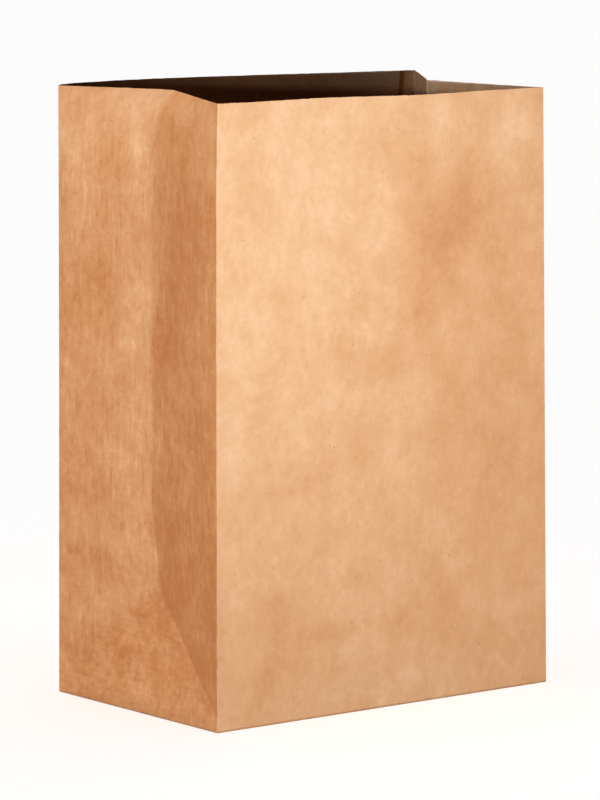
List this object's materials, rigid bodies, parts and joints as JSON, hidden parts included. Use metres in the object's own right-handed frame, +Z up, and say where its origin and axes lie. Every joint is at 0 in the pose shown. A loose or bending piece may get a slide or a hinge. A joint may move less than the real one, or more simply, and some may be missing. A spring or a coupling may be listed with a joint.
{
  "type": "paper bag",
  "caption": "Plain unbleached kraft paper carrier sack, standing open, with gusseted sides creased inward and a flat folded bottom.",
  "frame": {"origin": "middle of the flat base, on the surface that the bag stands on", "axes": "+Z up through the open mouth, +X to the right along the front panel, -Y out of the front panel, +Y out of the back panel with the glued lap"},
  "size_m": [0.3103, 0.1909, 0.4344],
  "materials": {
    "kraft_paper": "uncoated, unbleached kraft, matt with fine fibre streaks"
  },
  "bodies": {
    "root": {"paper_bag": "kraft_paper"}
  },
  "joints": []
}
